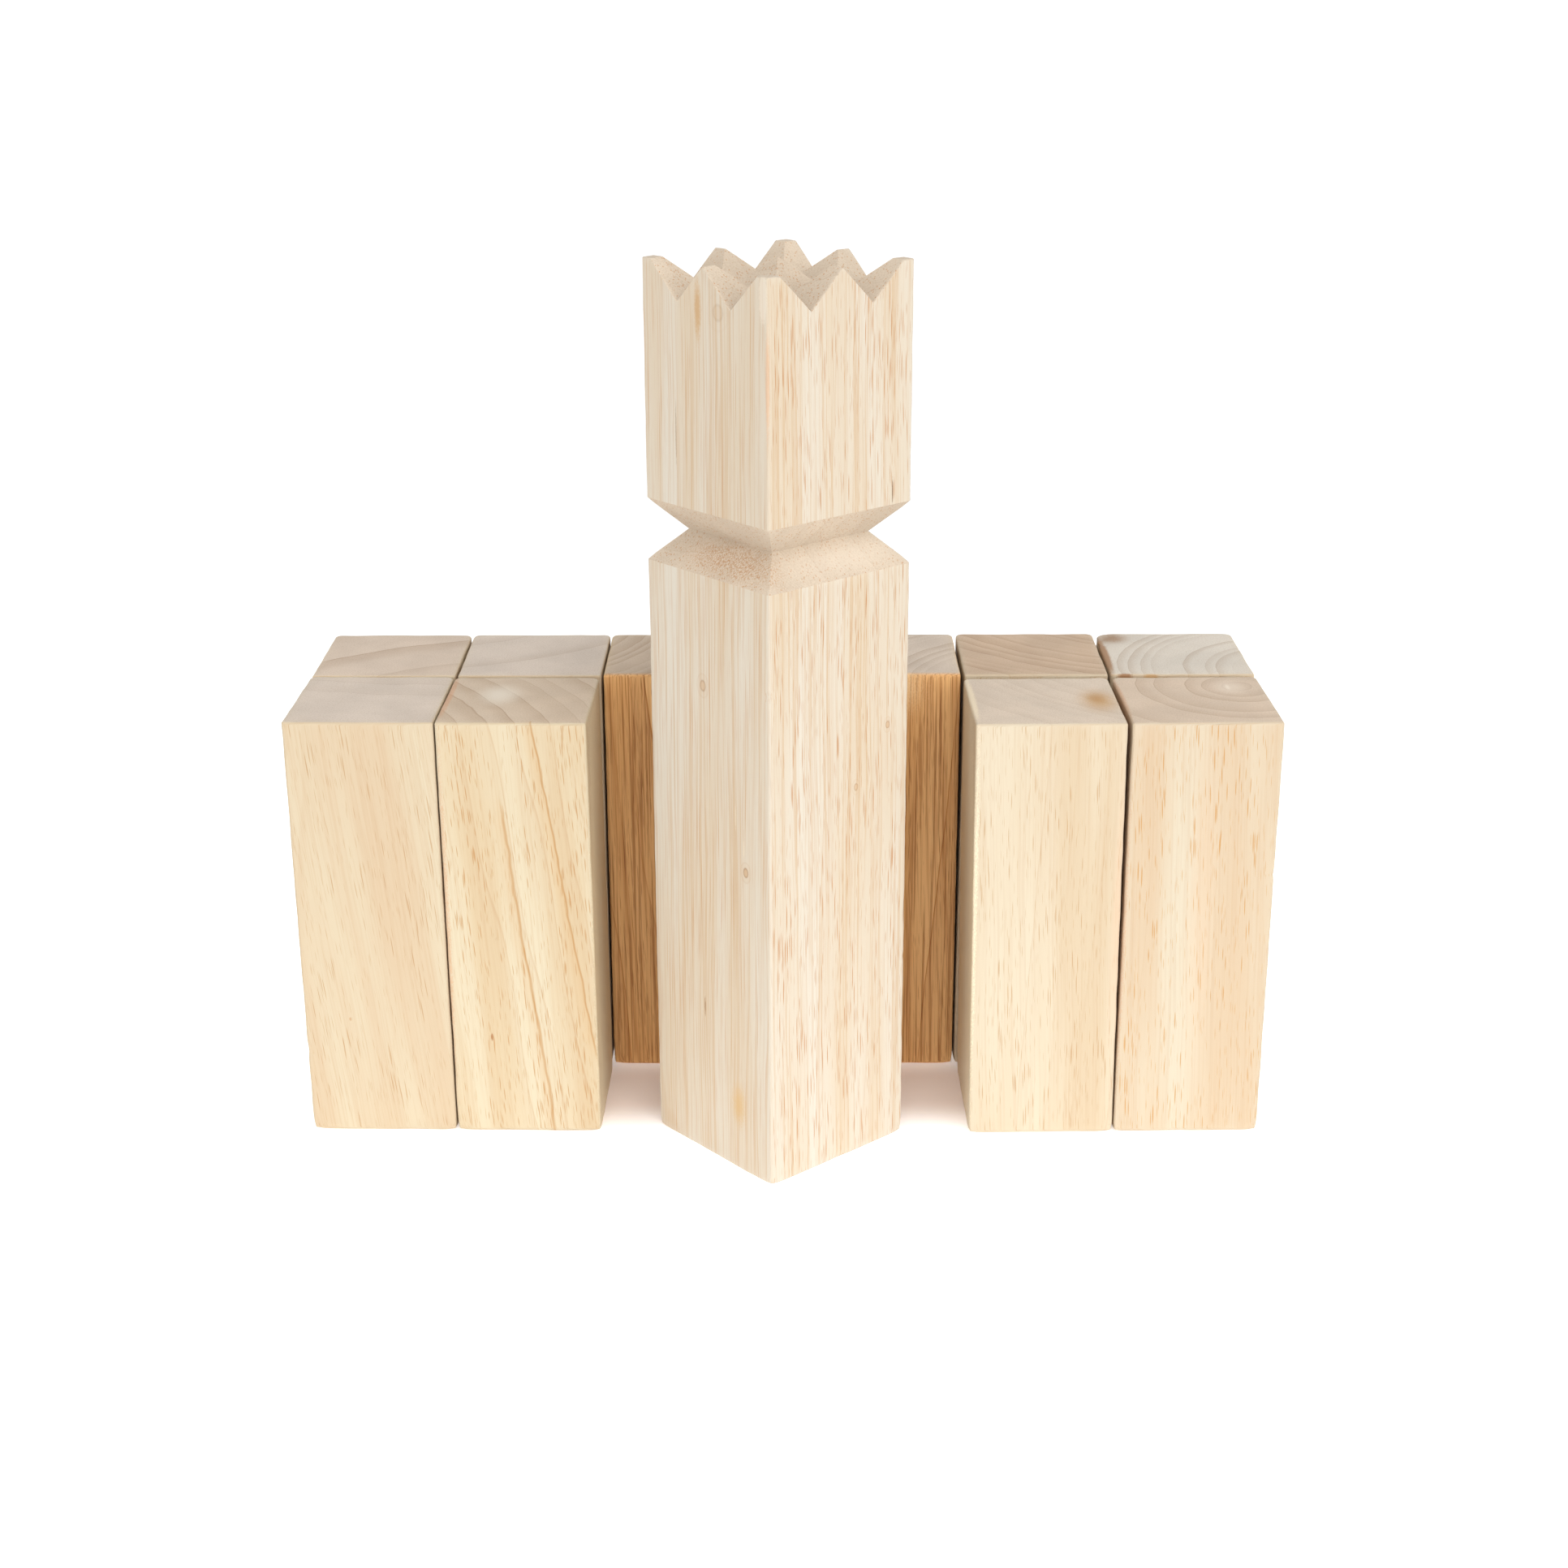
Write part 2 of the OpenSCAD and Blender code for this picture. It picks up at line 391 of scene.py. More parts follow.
def build_block(block, surface, seed, scars):
    """The block's detailed mesh as an object that stands in the CAD node's place."""
    points, face_groups = surface(block)
    mesh = bpy.data.meshes.new(block.node + "_wood")
    faces = [list(map(int, face)) for group in face_groups for face in group]
    mesh.from_pydata(points.tolist(), [], faces)
    mesh.update()
    normals = read(mesh.vertex_normals, "vector", 3)
    worn = points - normals * wear(block, points, seed, scars)[:, None]
    worn[:, 0] += worn[:, 2] * block.lean
    mesh.vertices.foreach_set("co", (worn * MM).ravel())
    edge = mesh.attributes.new("edge", "FLOAT", "POINT")
    edge.data.foreach_set("value", edge_nearness(block, points, EDGE_LOOK_REACH))
    mesh.shade_smooth()
    mesh.set_sharp_from_angle(angle=math.radians(CREASE))
    mesh.update()
    piece = bpy.data.objects.new(block.node + "_wood", mesh)
    bpy.context.scene.collection.objects.link(piece)
    piece.matrix_world = block.placement()
    return piece


# ---------------------------------------------------------------- the wood


class Graph:
    """Short names for the nodes of one material."""

    def __init__(self, name):
        self.material = bpy.data.materials.new(name)
        self.material.use_nodes = True
        self.tree = self.material.node_tree
        self.tree.nodes.clear()

    def node(self, kind, inputs=(), **settings):
        """A new node. inputs pairs an input's name or number with a value or with another node's output."""
        made = self.tree.nodes.new(kind)
        for setting, value in settings.items():
            setattr(made, setting, value)
        for key, value in dict(inputs).items():
            if isinstance(value, bpy.types.NodeSocket):
                self.tree.links.new(value, made.inputs[key])
            else:
                made.inputs[key].default_value = value
        return made

    def math(self, operation, *values):
        return self.node("ShaderNodeMath", enumerate(values), operation=operation).outputs[0]

    def product(self, first, *others):
        """All the numbers multiplied together."""
        for value in others:
            first = self.math("MULTIPLY", first, value)
        return first

    def total(self, first, *others):
        """All the numbers added together."""
        for value in others:
            first = self.math("ADD", first, value)
        return first

    def vector(self, operation, *values):
        return self.node("ShaderNodeVectorMath", enumerate(values), operation=operation).outputs["Vector"]

    def length(self, value):
        return self.node("ShaderNodeVectorMath", {0: value}, operation="LENGTH").outputs["Value"]

    def combine(self, x, y, z):
        return self.node("ShaderNodeCombineXYZ", {0: x, 1: y, 2: z}).outputs[0]

    def separate(self, vector):
        return self.node("ShaderNodeSeparateXYZ", {0: vector}).outputs[:3]

    def blend(self, amount, a, b):
        """Colour a where amount is 0 and colour b where it is 1."""
        return self.node("ShaderNodeMix", {0: amount, 6: a, 7: b}, data_type="RGBA").outputs[2]

    def lerp(self, amount, a, b):
        """Number a where amount is 0 and number b where it is 1."""
        return self.node("ShaderNodeMix", {0: amount, 2: a, 3: b}, data_type="FLOAT").outputs[0]

    def ease(self, value, start, end):
        """0 before start, 1 after end, and smooth between."""
        values = {"Value": value, "From Min": start, "From Max": end}
        return self.node("ShaderNodeMapRange", values, interpolation_type="SMOOTHSTEP").outputs[0]

    def noise(self, vector, detail=2.0, roughness=0.5):
        """Noise from 0 to 1 with lumps about one unit wide."""
        values = {"Vector": vector, "Scale": 1.0, "Detail": detail, "Roughness": roughness}
        return self.node("ShaderNodeTexNoise", values).outputs[0]

    def stretch(self, vector, x, y, z):
        """The vector with x, y and z measured in lumps of these sizes (mm)."""
        return self.vector("DIVIDE", vector, (x, y, z))


def albedo(code):
    """A colour for a shader from its #rrggbb code."""
    parts = [int(code[i:i + 2], 16) / 255 for i in (1, 3, 5)]
    return [((p + 0.055) / 1.055) ** 2.4 if p > 0.04 else p / 12.92 for p in parts] + [1.0]


# Painted shade with warm bounce light for the rear kubbs' fronts: what their colour is multiplied by, and
# what in the darker streaks
SHADE_BOUNCE_TINT = (1.31, 1.01, 0.72, 1.0)
SHADE_BOUNCE_STREAK_TINT = (0.8, 0.51, 0.3, 1.0)

PLAIN = {
    "pale": "#c8baa2",  # early wood, on the long sides
    "deep": "#c0a88a",  # broad darker bands
    "ring": "#a5794c",  # the dark line that ends each growth ring
    "pore": "#a3743a",  # open vessels
    "end": "#cab8a3",  # the sawn ends
    "end_from": 0.8,  # how level a surface is before it looks like end grain
    "end_dots": 0.15,  # how plainly vessels show there
    "pith": (-70, 90),  # where the tree's centre was, from the block's axis, in mm
    "ring_gap": 6.0,
    "ring_tilt": 0.03,  # how much the rings lean across the block, as a slope
    "ring_show": 0.35,  # on the sides
    "end_ring_show": 0.45,
    "slant": 0.03,  # lean of the vessels, as a slope
    "vessel": (0.62, 7.5, 0.36),  # how far apart, long and wide the vessels are, in mm
    "dash_x": 0.8,  # how plainly vessels show on the left and right faces
    "dash_y": 0.8,  # and on the front and rear faces
    "line_x": 0.25,  # how plainly long fine lines show on the left and right faces
    "line_y": 0.25,  # and on the front and rear faces
    "streak": 0.14,  # how plainly fine straight streaks show along the grain
    "streak_width": 0.9,
    "marks": (),  # paints laid over the wood, in this order
}

# Colours of the sawn ends: growth rings' tone and line, specks, and the painted highlight on the crests of
# the ridges that the saw left
END_BAND = "#947657"
END_LINE = "#86664a"
END_SPECK = "#8c7156"
END_RIDGE_HIGHLIGHT = "#e8dccb"
# Centre of the arcs that the saw left on the ends, and the arcs' distance apart, in mm
SAW_CENTRE = (-300, -260)
SAW_GAP = 0.9
# How far the wood's patterns move from one block to the next, in mm
SEED_STEP = (113.0, 71.0, 197.0)
# Finer vessels: shift so that no two kinds line up, gap, length and width, in mm
SMALL_VESSELS = ((5.3, 2.9, 11.7), 0.5, 5.0, 0.22)
LONG_VESSELS = ((9.1, 4.7, 3.3), 0.6, 26.0, 0.28)
END_VESSELS = ((2.1, 6.2, 1.9), 1.0, 4.0, 0.5)


def pore_field(g, grain, gap, length, width, amount):
    """Mask of spindle-shaped vessels, gap apart and that long and wide, in mm. amount 1 is the thickest."""
    reach = width / (2 * gap)
    cells = g.stretch(grain, gap, gap, length / (2 * reach))
    found = g.node("ShaderNodeTexVoronoi", {"Vector": cells, "Scale": 1.0, "Randomness": 1.0})
    limit = g.math("MULTIPLY", g.math("ADD", amount, 0.12), reach * 1.1)
    inner = g.math("MULTIPLY", limit, 0.5)
    return g.math("SUBTRACT", 1.0, g.ease(found.outputs["Distance"], inner, limit))


def even_pores(g, vector, kind):
    """Mask of one of the finer kinds of vessel."""
    shift, gap, length, width = kind
    return pore_field(g, g.vector("ADD", vector, shift), gap, length, width, 0.95)


def ring_field(g, place, look):
    """(line, band): the dark line that ends each growth ring, and the soft tone that leads up to it."""
    x, y, z = g.separate(place)
    wobble = g.math("MULTIPLY", g.noise(g.stretch(place, 16, 16, 90)), 3.4)
    pith_x, pith_y = look["pith"]
    away = g.length(g.combine(g.math("SUBTRACT", x, pith_x), g.math("SUBTRACT", y, pith_y), 0.0))
    tilted = g.total(away, wobble, g.math("MULTIPLY", z, look["ring_tilt"]))
    uneven = g.math("MULTIPLY", g.noise(g.combine(g.math("DIVIDE", away, 11.0), 0.0, 0.0), 0.0), 9.0)
    turns = g.math("DIVIDE", g.math("ADD", tilted, uneven), look["ring_gap"])
    phase = g.math("FRACT", turns)
    strength = g.noise(g.combine(g.math("FLOOR", turns), 3.7, 1.1), 0.0)
    plain = g.ease(strength, 0.32, 0.68)
    line = g.product(g.ease(phase, 0.92, 0.975), g.ease(phase, 1.0, 0.98), plain)
    band = g.product(g.ease(phase, 0.1, 0.95), g.ease(phase, 1.0, 0.97), plain)
    return line, band


def mark_distance(g, place, centre, size, ragged=0.35):
    """Distance from the middle of an oval mark, 1 on its rim. centre and size are in mm."""
    rough = g.node("ShaderNodeTexNoise", {"Vector": g.stretch(place, 1.4, 1.4, 4.0)}).outputs[1]
    rough = g.vector("SUBTRACT", rough, (0.5, 0.5, 0.5))
    local = g.vector("DIVIDE", g.vector("SUBTRACT", place, centre), tuple(s / 2 for s in size))
    bent = g.vector("ADD", local, g.vector("MULTIPLY", rough, (2 * ragged, 2 * ragged, 2 * ragged)))
    return g.length(bent)


def stain(centre, size, code, strength, softness=0.6):
    """A patch of other colour: where, how wide in x, y and z, what colour, how strong and how soft."""
    def paint(g, place, colour):
        away = mark_distance(g, place, centre, size)
        amount = g.math("MULTIPLY", g.ease(away, 1.0, 1.0 - softness), strength)
        return g.blend(amount, colour, albedo(code))
    return paint


def torn_grain(centre, size, code, strength):
    """Short dark scratches along the grain within a patch, where the saw tore the wood."""
    def paint(g, place, colour):
        away = mark_distance(g, place, centre, size)
        torn = g.ease(g.noise(g.stretch(place, 0.45, 0.45, 5.0), 2.0, 0.6), 0.42, 0.64)
        amount = g.product(g.ease(away, 1.0, 0.2), torn, strength)
        return g.blend(amount, colour, albedo(code))
    return paint


def growth_line(start, end, strength, width=0.55):
    """A dark growth line on the front face, from start down to end (x, z), with a soft tone on its left."""
    slope = (end[0] - start[0]) / (end[1] - start[1])

    def paint(g, place, colour):
        x, y, z = g.separate(place)
        wobble = g.math("MULTIPLY", g.math("SUBTRACT", g.noise(g.stretch(place, 40, 40, 14)), 0.5), 2.4)
        centre = g.math("ADD", g.math("MULTIPLY", g.math("SUBTRACT", z, start[1]), slope), start[0])
        off = g.math("SUBTRACT", g.math("ADD", x, wobble), centre)
        front = g.math("MULTIPLY", g.ease(y, -22.0, -24.0), strength)
        reach = g.product(g.ease(z, end[1] - 8, end[1] + 4), g.ease(z, start[1] + 8, start[1] - 4))
        front = g.math("MULTIPLY", front, reach)
        line = g.math("MULTIPLY", g.ease(g.math("ABSOLUTE", off), width, 0.1 * width), front)
        tone = g.product(g.ease(off, -5.0, 0.0), g.ease(off, 0.4, 0.0), front)
        colour = g.blend(g.math("MULTIPLY", tone, 0.3), colour, albedo("#b98d55"))
        return g.blend(line, colour, albedo("#a77d48"))
    return paint


def knot(centre, size, strength=0.75):
    """A pin knot, as big as size (mm): a dark rim round a tan heart, with a halo and a faint outer ring."""
    def paint(g, place, colour):
        away = mark_distance(g, place, centre, size, 0.12)
        halo = g.math("MULTIPLY", g.ease(away, 2.6, 0.9), 0.3 * strength)
        ring = g.product(g.ease(away, 2.5, 2.2), g.ease(away, 1.8, 2.2), 0.3 * strength)
        heart = g.math("MULTIPLY", g.ease(away, 1.1, 0.9), strength)
        rim = g.product(g.ease(away, 1.25, 1.0), g.ease(away, 0.6, 0.9), strength)
        colour = g.blend(halo, colour, albedo("#b98d5c"))
        colour = g.blend(ring, colour, albedo("#a8794a"))
        colour = g.blend(heart, colour, albedo("#b38a5c"))
        return g.blend(g.math("MULTIPLY", rim, 0.7), colour, albedo("#6f4a2b"))
    return paint


def painted_shade_front(g, place, colour):
    """Paints shade with warm bounce light on the front face: multiplies it golden, with darker streaks."""
    y = g.separate(place)[1]
    streak = g.ease(g.noise(g.stretch(place, 0.8, 0.8, 70.0), 3.0, 0.6), 0.47, 0.64)
    gain = g.blend(streak, SHADE_BOUNCE_TINT, SHADE_BOUNCE_STREAK_TINT)
    settings = {"data_type": "RGBA", "blend_type": "MULTIPLY"}
    shaded_colour = g.node("ShaderNodeMix", {0: 1.0, 6: colour, 7: gain}, **settings).outputs[2]
    return g.blend(g.ease(y, -21.5, -24.5), colour, shaded_colour)


def locate(g, look, seed):
    """Where a point of the surface is and how it faces, as the values that all patterns are made from."""
    at = SimpleNamespace()
    coordinates = g.node("ShaderNodeTexCoord")
    scaled = {0: coordinates.outputs["Object"], "Scale": 1 / MM}
    at.here = g.node("ShaderNodeVectorMath", scaled, operation="SCALE").outputs["Vector"]
    at.place = g.vector("ADD", at.here, tuple(seed * step for step in SEED_STEP))
    nx, ny, nz = [g.math("ABSOLUTE", n) for n in g.separate(coordinates.outputs["Normal"])]
    at.end = g.ease(nz, look["end_from"], look["end_from"] + 0.17)
    at.side = g.math("SUBTRACT", 1.0, at.end)
    at.facing_x = g.math("MULTIPLY", nx, nx)
    at.facing_y = g.math("MULTIPLY", ny, ny)
    x, y, z = g.separate(at.place)
    waver = g.math("MULTIPLY", g.noise(g.stretch(at.place, 26, 26, 80)), 3.0)
    lean = g.math("ADD", g.math("MULTIPLY", z, look["slant"]), waver)
    along_x = g.math("ADD", x, g.math("MULTIPLY", lean, at.facing_y))
    along_y = g.math("ADD", y, g.math("MULTIPLY", lean, at.facing_x))
    at.grain = g.combine(along_x, along_y, z)
    return at


def by_facing(g, at, for_x, for_y):
    """for_x on the left and right faces, and for_y on the front and rear faces."""
    return g.math("ADD", g.math("MULTIPLY", at.facing_x, for_x), g.math("MULTIPLY", at.facing_y, for_y))


def vessels(g, at, look):
    """Masks of the large, small and long vessels on the sides, and of the dots on the ends."""
    thick = g.ease(g.noise(g.stretch(at.grain, 5, 5, 60), 2.0), 0.34, 0.6)
    dashes = g.product(by_facing(g, at, look["dash_x"], look["dash_y"]), at.side)
    lines = by_facing(g, at, look["line_x"], look["line_y"])
    large = g.product(pore_field(g, at.grain, *look["vessel"], thick), dashes)
    small = g.product(even_pores(g, at.grain, SMALL_VESSELS), dashes)
    long = g.product(even_pores(g, at.grain, LONG_VESSELS), lines, at.side)
    dots = g.product(even_pores(g, at.here, END_VESSELS), at.end, look["end_dots"])
    return large, small, long, dots


def side_colour(g, at, look, rings, fine):
    """The long sides: pale wood with broad deeper bands, fine streaks and growth rings."""
    line, band = rings
    ring = albedo(look["ring"])
    broad = g.noise(g.stretch(at.grain, 15, 15, 220), 2.0)
    colour = g.blend(g.ease(broad, 0.3, 0.7), albedo(look["pale"]), albedo(look["deep"]))
    colour = g.blend(g.product(at.side, look["streak"], g.ease(fine, 0.46, 0.66)), colour, ring)
    colour = g.blend(g.math("MULTIPLY", band, 0.35 * look["ring_show"]), colour, ring)
    return g.blend(g.math("MULTIPLY", line, look["ring_show"]), colour, ring)


def saw_ridges(g, at, speckle):
    """The ridges that the saw left in patches on the ends, from -1 to 1."""
    x, y, z = g.separate(at.here)
    from_saw = g.combine(g.math("SUBTRACT", x, SAW_CENTRE[0]), g.math("SUBTRACT", y, SAW_CENTRE[1]), 0.0)
    arc = g.math("ADD", g.length(from_saw), g.math("MULTIPLY", speckle, 0.35))
    ridge = g.math("SINE", g.math("MULTIPLY", arc, 2 * math.pi / SAW_GAP))
    patchy = g.ease(g.noise(g.stretch(at.place, 9, 9, 9), 1.0), 0.4, 0.65)
    return g.product(ridge, patchy, at.end)


def end_colour(g, at, look, rings, speckle, ridges):
    """The sawn ends: growth rings, specks and a painted highlight on the crests of the saw ridges, on wood
    of uneven tone.
    """
    line, band = rings
    show = look["end_ring_show"]
    light = albedo(look["end"])
    deep = [0.9 * c for c in light[:3]] + [1.0]
    broad = g.noise(g.stretch(at.place, 19, 19, 19), 2.0)
    colour = g.blend(g.ease(broad, 0.3, 0.7), light, deep)
    colour = g.blend(g.math("MULTIPLY", band, 0.5 * show), colour, albedo(END_BAND))
    colour = g.blend(g.math("MULTIPLY", line, 0.6 * show), colour, albedo(END_LINE))
    specks = g.math("MULTIPLY", g.ease(speckle, 0.45, 0.65), 0.22)
    colour = g.blend(specks, colour, albedo(END_SPECK))
    # Painted highlight: the crests of the saw ridges painted paler
    lit = g.math("MULTIPLY", g.math("MAXIMUM", ridges, 0.0), 0.1)
    return g.blend(lit, colour, albedo(END_RIDGE_HIGHLIGHT))


def wood(name, look_changes, seed):
    """One block's wood as a material: grain and marks on the sides, and sawn end grain on the ends."""
    look = {**PLAIN, **look_changes}
    g = Graph(name)
    at = locate(g, look, seed)
    fine = g.noise(g.stretch(at.grain, look["streak_width"], look["streak_width"], 90), 3.0, 0.6)
    fibre = g.noise(g.stretch(at.grain, 0.35, 0.35, 7), 2.0, 0.6)
    speckle = g.noise(g.stretch(at.here, 0.5, 0.5, 0.5), 2.0, 0.7)
    rings = ring_field(g, at.here, look)
    ridges = saw_ridges(g, at, speckle)
    large, small, long, dots = vessels(g, at, look)

    sides = side_colour(g, at, look, rings, fine)
    ends = end_colour(g, at, look, rings, speckle, ridges)
    colour = g.blend(at.end, sides, ends)
    for vessel, strength in ((long, 0.45), (small, 0.5), (large, 0.75), (dots, 0.65)):
        colour = g.blend(g.math("MULTIPLY", vessel, strength), colour, albedo(look["pore"]))
    # Edges painted paler: partly rubbed wear, partly painted highlight
    edge = g.node("ShaderNodeAttribute", attribute_name="edge").outputs["Fac"]
    rubbed_and_highlit = g.product(g.noise(g.stretch(at.here, 5, 5, 9)), 0.5, edge)
    colour = g.blend(rubbed_and_highlit, colour, albedo(look["pale"]))
    for paint in look["marks"]:
        colour = paint(g, at.here, colour)

    rough_end = g.math("MULTIPLY", speckle, at.end)
    # How far each pattern raises or sinks the surface, in mm
    heights = [(fibre, 0.035), (fine, 0.03), (large, -0.05), (small, -0.02)]
    heights += [(dots, -0.04), (rings[0], -0.02), (ridges, 0.012), (rough_end, 0.03)]
    height = g.total(*[g.math("MULTIPLY", pattern, rise) for pattern, rise in heights])
    bump = g.node("ShaderNodeBump", {"Height": height, "Strength": 0.8, "Distance": MM})
    rougher = [g.math("MULTIPLY", p, share) for p, share in ((fibre, 0.12), (at.end, 0.12), (large, 0.1))]
    values = {"Base Color": colour, "Roughness": g.total(0.52, *rougher), "Normal": bump.outputs[0]}
    values["Specular IOR Level"] = 0.3
    shader = g.node("ShaderNodeBsdfPrincipled", values)
    g.node("ShaderNodeOutputMaterial", {"Surface": shader.outputs[0]})
    return g.material


# ---------------------------------------------------------------- how each block looks

KING_LOOK = {
    "pale": "#c8c0b2",
    "deep": "#c4b59f",
    "ring": "#b38d60",
    "pore": "#ad7541",
    "end": "#cbbba7",
    "end_from": 0.5,
    "end_dots": 0.9,
    "vessel": (0.66, 10.0, 0.36),
    "dash_x": 0.2,
    "dash_y": 1.0,
    "line_x": 1.1,
    "line_y": 0.35,
    "streak": 0.4,
    "slant": 0.01,
    "pith": (160, 40),
    "ring_gap": 9.0,
    "ring_tilt": 0.02,
    "ring_show": 0.2,
    "end_ring_show": 0.15,
    "marks": (
        knot((-30, -7, 287), (4, 4.6, 5.0), 0.15),
        stain((-30, 2.6, 287), (6, 4.6, 26), "#b48647", 0.65, 0.8),
        stain((-30.5, -27.8, 294), (3, 4.4, 20), "#ddd2c2", 0.4, 0.3),
        stain((-30, -29.5, 268), (2, 2.0, 46), "#cb9468", 0.4),
        stain((-30, 14, 247), (3, 0.9, 26), "#95724a", 0.5),
        stain((21.5, -30, 228.5), (0.6, 3, 11), "#6a4a2c", 0.8, 0.6),
        knot((-30, 2.6, 167.4), (2, 2.6, 3.6), 0.35),
        stain((-30, -13, 127), (2, 0.7, 12), "#e0d3ba", 0.35),
        stain((-30, -17, 117), (2, 0.7, 8), "#e0d3ba", 0.35),
        torn_grain((-25, -8, 209), (18, 66, 18), "#a8743f", 0.65),
        stain((4, -25, 209), (74, 22, 20), "#ded3c3", 0.4, 1.0),
        knot((-30, -17.9, 109.1), (2, 2.2, 3.2), 0.5),
        stain((-30, -13.5, 24), (4, 10, 22), "#c29a5a", 0.6, 0.9),
        stain((-30, 3.7, 54.5), (2, 0.9, 9), "#8a6238", 0.7),
        knot((20.7, -30, 151.2), (1.6, 2, 2.4), 0.4),
        knot((6.9, -30, 132.9), (1.6, 2, 2.4), 0.35),
    ),
}
# Shared by the two rear kubbs whose fronts stand in shade behind the king and the front pairs; their fronts
# get painted shade with warm bounce light
SHADED_REAR_LOOK = {
    "pale": "#ccb793",
    "deep": "#c0a57c",
    "ring": "#9c7344",
    "pore": "#7a5630",
    "streak": 0.5,
    "streak_width": 1.3,
    "ring_gap": 5.0,
    "ring_tilt": 0.06,
    "ring_show": 0.9,
    "dash_y": 0.6,
    "line_y": 1.1,
}
LOOKS = {
    "kubb_front_left_outer": {
        "pith": (15, 170),
        "ring_gap": 11.0,
        "pale": "#c1b49b",
        "deep": "#bca78b",
        "pore": "#a0733a",
        "slant": 0.11,
        "vessel": (0.74, 10.0, 0.34),
        "ring_show": 0.1,
        "dash_y": 0.7,
        "end": "#cdc0b3",
        "end_ring_show": 0.15,
        "marks": (stain((-9.6, -25, 42.7), (1.1, 2, 1.8), "#a8794a", 0.5),),
    },
    "kubb_front_left_inner": {
        "pale": "#c5baa1",
        "deep": "#beab8c",
        "pore": "#a8783e",
        "pith": (-150, -85),
        "ring_gap": 9.0,
        "ring_tilt": 0.13,
        "ring_show": 0.25,
        "slant": 0.07,
        "vessel": (0.56, 6.0, 0.32),
        "dash_y": 0.9,
        "end_ring_show": 0.6,
        "marks": (
            growth_line((5.8, 149), (23.8, 32), 0.7),
            growth_line((-5, 118), (9.3, 0), 0.6, 0.8),
            stain((-11.6, -25, 36.2), (1.2, 2, 3.8), "#94602f", 0.8),
            stain((-8, 5, 150), (20, 30, 8), "#d8cfc0", 0.75, 0.9),
            # Painted shade: warm brown on the left face, in the narrow gap to the outer kubb
            stain((-25, 2, 75), (4, 70, 250), "#c08a64", 0.5, 0.3),
            # Painted light: the right face, which stands in shade, painted paler
            stain((25, 2, 75), (4, 70, 250), "#e0cfae", 0.6, 0.3),
        ),
    },
    "kubb_front_right_inner": {
        "pale": "#c7bba5",
        "deep": "#c0ae93",
        "pith": (90, 80),
        "vessel": (0.7, 8.0, 0.32),
        "ring_show": 0.15,
        "dash_y": 0.7,
        "end": "#d3c4b3",
        "end_ring_show": 0.2,
        "marks": (
            stain((17.5, -1, 150), (19, 34, 9), "#b98f58", 0.75, 1.0),
            stain((17, 2, 150), (10, 16, 4), "#a87a40", 0.5, 1.0),
            stain((24, -25, 80), (7, 6, 150), "#d3a98a", 0.3, 0.9),
            # Painted light: the left face, which stands in shade, painted paler
            stain((-25, 2, 75), (4, 70, 250), "#e6d7ba", 0.7, 0.3),
        ),
    },
    "kubb_front_right_outer": {
        "pale": "#c4b9a4",
        "deep": "#bfaa8f",
        "pore": "#b5823c",
        "pith": (16, 14),
        "ring_gap": 7.5,
        "ring_show": 0.08,
        "vessel": (0.72, 8.0, 0.38),
        "dash_y": 1.0,
        "end": "#d0bda9",
        "end_ring_show": 0.42,
        "marks": (
            stain((1, -25, 80), (14, 8, 170), "#c9ad90", 0.32, 0.9),
            stain((14, 13, 150), (16, 20, 8), "#d9cab8", 0.7, 0.9),
            stain((13, 13, 150), (2.4, 9, 4), "#ece2d2", 0.4, 0.9),
            # Painted shade: warm brown on the left face, in the narrow gap to the inner kubb
            stain((-25, 2, 75), (4, 70, 250), "#c08a64", 0.5, 0.3),
        ),
    },
    "kubb_rear_1": {"pith": (60, -110), "ring_gap": 13.0, "end": "#cfbead", "end_ring_show": 0.6},
    "kubb_rear_2": {"pith": (-60, 100), "ring_gap": 12.0, "end": "#cfc2b5", "end_ring_show": 0.3},
    "kubb_rear_3": {
        **SHADED_REAR_LOOK,
        "pith": (-95, 45),
        "end_ring_show": 0.7,
        "end": "#c5b39f",
        # Painted shade with warm bounce light on the front face
        "marks": (painted_shade_front,),
    },
    "kubb_rear_4": {
        **SHADED_REAR_LOOK,
        "pith": (60, -40),
        "end_ring_show": 0.6,
        "end": "#cdbfb0",
        "marks": (
            # Painted shade with warm bounce light on the front face
            painted_shade_front,
            # Painted light: a pale patch at the top of the front face where light falls
            stain((-3, -25, 146), (38, 8, 34), "#f0d6ac", 0.7, 0.9),
            stain((-19, -22, 150), (12, 9, 4), "#a87c50", 0.5, 0.8),
        ),
    },
    "kubb_rear_5": {"pith": (60, 80), "ring_gap": 5.5, "end": "#c5ad95", "end_ring_show": 0.6},
    "kubb_rear_6": {
        "pith": (40, -20),
        "ring_gap": 4.6,
        "end": "#d3cbbf",
        "end_ring_show": 0.55,
        "marks": (
            stain((-20, -25, 149), (7, 3, 5), "#8d5c30", 0.8),
            stain((-20, 19, 150), (17, 18, 5), "#8f6a45", 0.75, 0.8),
            stain((-24.5, -1, 150), (4.6, 60, 5), "#9a7350", 0.9, 0.5),
            stain((-11, -25, 149), (7, 3, 3), "#b78a52", 0.7),
        ),
    },
}
# Dents and chips: place, radius and depth, in a block's own space in mm
SCARS = {
    "kubb_rear_6": ((-24.5, 21, 149.5, 6, 0.9), (-24.5, 12, 149.8, 3.5, 0.4)),
    "kubb_front_right_outer": ((24.5, -24.5, 96, 2.2, 0.35),),
    "kubb_front_left_outer": ((-24.5, -24.5, 31, 2.0, 0.3),),
    "king": ((-29.9, -29.9, 171, 2.2, 0.4), (29.8, -29.8, 66, 1.8, 0.3)),
}


